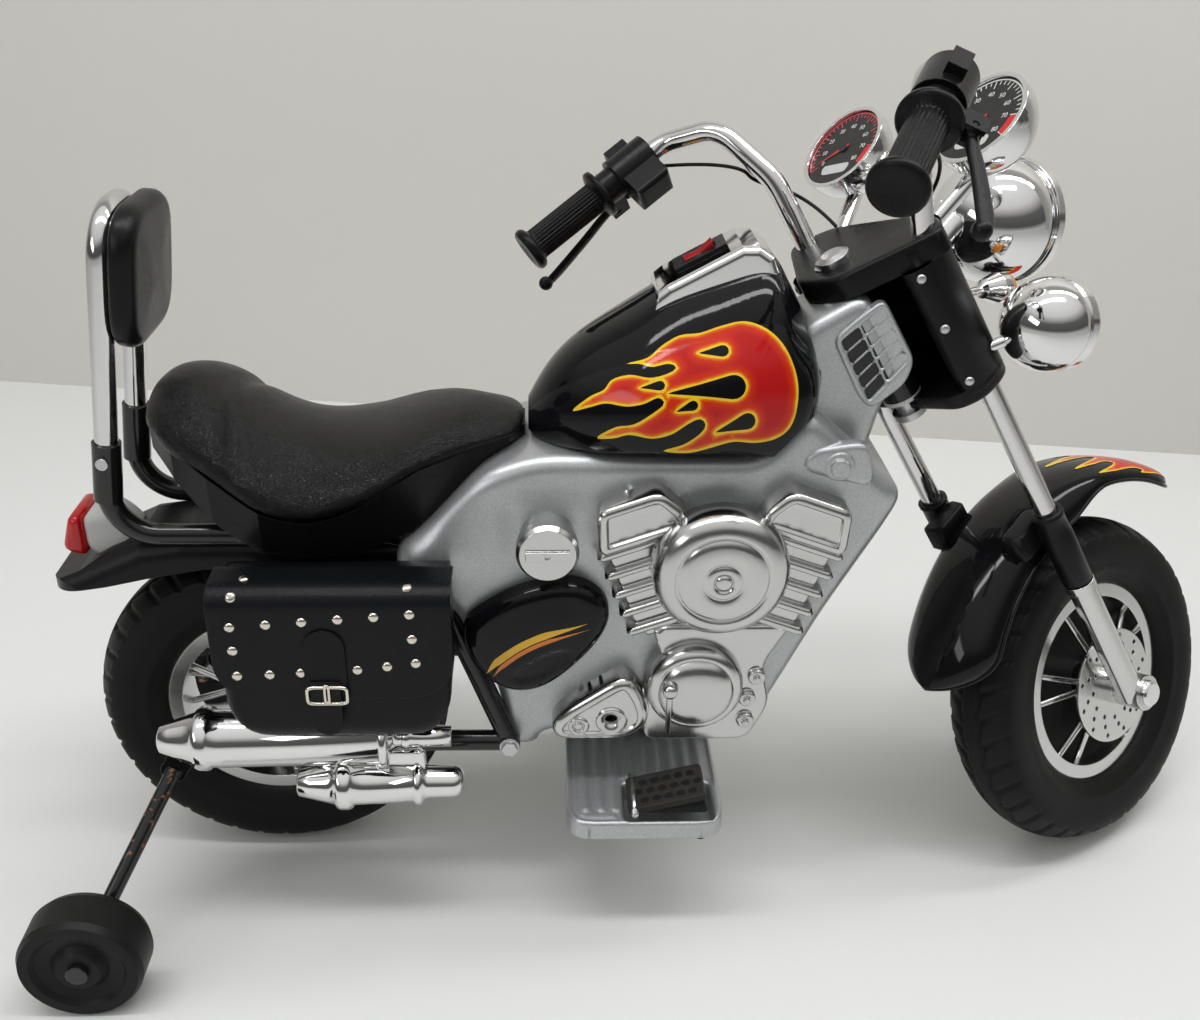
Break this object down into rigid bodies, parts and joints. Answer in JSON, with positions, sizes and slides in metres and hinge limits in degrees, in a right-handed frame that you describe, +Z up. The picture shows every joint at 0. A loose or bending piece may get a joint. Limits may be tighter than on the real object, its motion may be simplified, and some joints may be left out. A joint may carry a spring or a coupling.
{
  "type": "kids electric motorbike",
  "caption": "Chopper-style battery ride-on motorbike for a child, with steerable raked fork, spoked wheels, stabilisers, padded seat, saddlebags and imitation engine.",
  "frame": {"origin": "on the ground straight under the rear axle, where the rear tyre touches", "axes": "+X forward, +Y to the rider's left, +Z up"},
  "size_m": [1.1165, 0.5123, 0.7718],
  "materials": {
    "tyre_rubber": "moulded rubber",
    "grip_rubber": "ribbed",
    "black_plastic": "satin",
    "gloss_black": "gloss",
    "silver_plastic": "metallic paint",
    "chrome_plastic": "vacuum plated",
    "chrome_steel": "plated tube",
    "black_steel": "gloss paint",
    "plain_steel": "zinc",
    "nylon": "plain",
    "vinyl": "grained",
    "bag_leather": "satin",
    "red_lens": "translucent",
    "amber_lens": "translucent",
    "clear_lens": "clear",
    "dial": "printed",
    "wire": "sheath"
  },
  "bodies": {
    "chassis": {"air_cleaners": "chrome_plastic", "backrest_pad": "black_plastic", "battery": "black_plastic", "body_shell_left": "silver_plastic", "body_shell_right": "silver_plastic", "chassis_bolts": "plain_steel", "drive_motor": "plain_steel", "engine_covers": "chrome_plastic", "exhaust": "chrome_plastic", "foot_platform_left": "silver_plastic", "foot_platform_right": "silver_plastic", "fuel_tank": "gloss_black", "gearbox_case": "black_plastic", "headset_bushes": "nylon", "ignition_caps": "chrome_plastic", "main_frame": "black_steel", "rear_axle": "plain_steel", "rear_fender": "gloss_black", "saddlebags": "bag_leather", "seat_base": "black_plastic", "seat_cushion": "vinyl", "side_covers": "gloss_black", "sissy_bar": "chrome_steel", "stabiliser_arms": "black_steel", "switch_bezel": "black_plastic", "tail_lamp_housing": "chrome_plastic", "tail_lamp_lens": "red_lens", "tank_console": "chrome_plastic"},
    "rear_wheel": {"rear_tyre": "tyre_rubber", "rear_rim": "chrome_plastic", "drive_gear": "nylon"},
    "drive_pinion": {"drive_pinion": "plain_steel"},
    "stabiliser_wheel_right": {"stabiliser_wheel_right": "black_plastic"},
    "stabiliser_wheel_left": {"stabiliser_wheel_left": "black_plastic"},
    "accelerator_pedal": {"accelerator_pedal": "black_plastic"},
    "rocker_switch": {"rocker_switch": "red_lens"},
    "bag_flap_right": {"bag_flap_right": "bag_leather"},
    "bag_flap_left": {"bag_flap_left": "bag_leather"},
    "steering": {"fork_yoke": "black_plastic", "steering_stem": "plain_steel", "fork_stanchions": "chrome_steel", "fork_lowers": "silver_plastic", "front_fender": "gloss_black", "handlebars": "chrome_steel", "hand_grips": "grip_rubber", "control_housings": "black_plastic", "headlight_bowl": "chrome_plastic", "passing_lamps": "chrome_plastic", "lamp_lenses": "clear_lens", "indicator_lenses": "amber_lens", "gauge_bowls": "chrome_plastic", "gauge_faces": "dial", "control_wire_right": "wire", "control_wire_left": "wire", "front_axle": "plain_steel"},
    "brake_lever_right": {"brake_lever_right": "black_plastic"},
    "brake_lever_left": {"brake_lever_left": "black_plastic"},
    "front_wheel": {"front_tyre": "tyre_rubber", "front_rim": "chrome_plastic", "brake_disc": "chrome_plastic"}
  },
  "joints": [
    {"name": "steering_turn", "type": "hinge", "parent": "chassis", "child": "steering", "pos_m": [0.5193, 0, 0.5411], "axis": [-0.521, 0, 0.8536], "range_deg": [-74, 0]},
    {"name": "front_wheel_spin", "type": "hinge", "parent": "steering", "child": "front_wheel", "pos_m": [0.78843, 0.02197, 0.15615], "axis": [-0.5137, 0.7986, -0.3136], "continuous": true},
    {"name": "rear_wheel_spin", "type": "hinge", "parent": "chassis", "child": "rear_wheel", "pos_m": [0, 0, 0.162], "axis": [0, 1, 0], "continuous": true},
    {"name": "drive_pinion_spin", "type": "hinge", "parent": "chassis", "child": "drive_pinion", "pos_m": [0.04316, 0, 0.20368], "axis": [0, 1, 0], "continuous": true},
    {"name": "stabiliser_wheel_right_spin", "type": "hinge", "parent": "chassis", "child": "stabiliser_wheel_right", "pos_m": [-0.131, -0.218, 0.0516], "axis": [0, 1, 0], "continuous": true},
    {"name": "stabiliser_wheel_left_spin", "type": "hinge", "parent": "chassis", "child": "stabiliser_wheel_left", "pos_m": [-0.131, 0.218, 0.0516], "axis": [0, 1, 0], "continuous": true},
    {"name": "accelerator_press", "type": "hinge", "parent": "chassis", "child": "accelerator_pedal", "pos_m": [0.333, -0.121, 0.132], "axis": [0, 1, 0], "range_deg": [0, 9], "stiffness_Nm_per_rad": 1.5, "springref_deg": -6.88},
    {"name": "switch_rock", "type": "hinge", "parent": "chassis", "child": "rocker_switch", "pos_m": [0.381, 0, 0.59], "axis": [0, 1, 0], "range_deg": [0, 10]},
    {"name": "bag_flap_right_lift", "type": "hinge", "parent": "chassis", "child": "bag_flap_right", "pos_m": [0.084, -0.112, 0.3731], "axis": [-1, 0, 0], "range_deg": [0, 75]},
    {"name": "bag_flap_left_lift", "type": "hinge", "parent": "chassis", "child": "bag_flap_left", "pos_m": [0.084, 0.112, 0.3731], "axis": [1, 0, 0], "range_deg": [0, 75]},
    {"name": "brake_lever_right_pull", "type": "hinge", "parent": "steering", "child": "brake_lever_right", "pos_m": [0.52644, -0.17974, 0.72221], "axis": [-0.188, 0.4555, -0.8702], "range_deg": [0, 12], "stiffness_Nm_per_rad": 0.3, "springref_deg": -8.59},
    {"name": "brake_lever_left_pull", "type": "hinge", "parent": "steering", "child": "brake_lever_left", "pos_m": [0.31685, 0.1461, 0.59428], "axis": [-0.5653, 0.7156, 0.4104], "range_deg": [0, 12], "stiffness_Nm_per_rad": 0.3, "springref_deg": -8.59}
  ],
  "couplings": [
    {"joint": "drive_pinion_spin", "follows": "rear_wheel_spin", "ratio": -5}
  ]
}
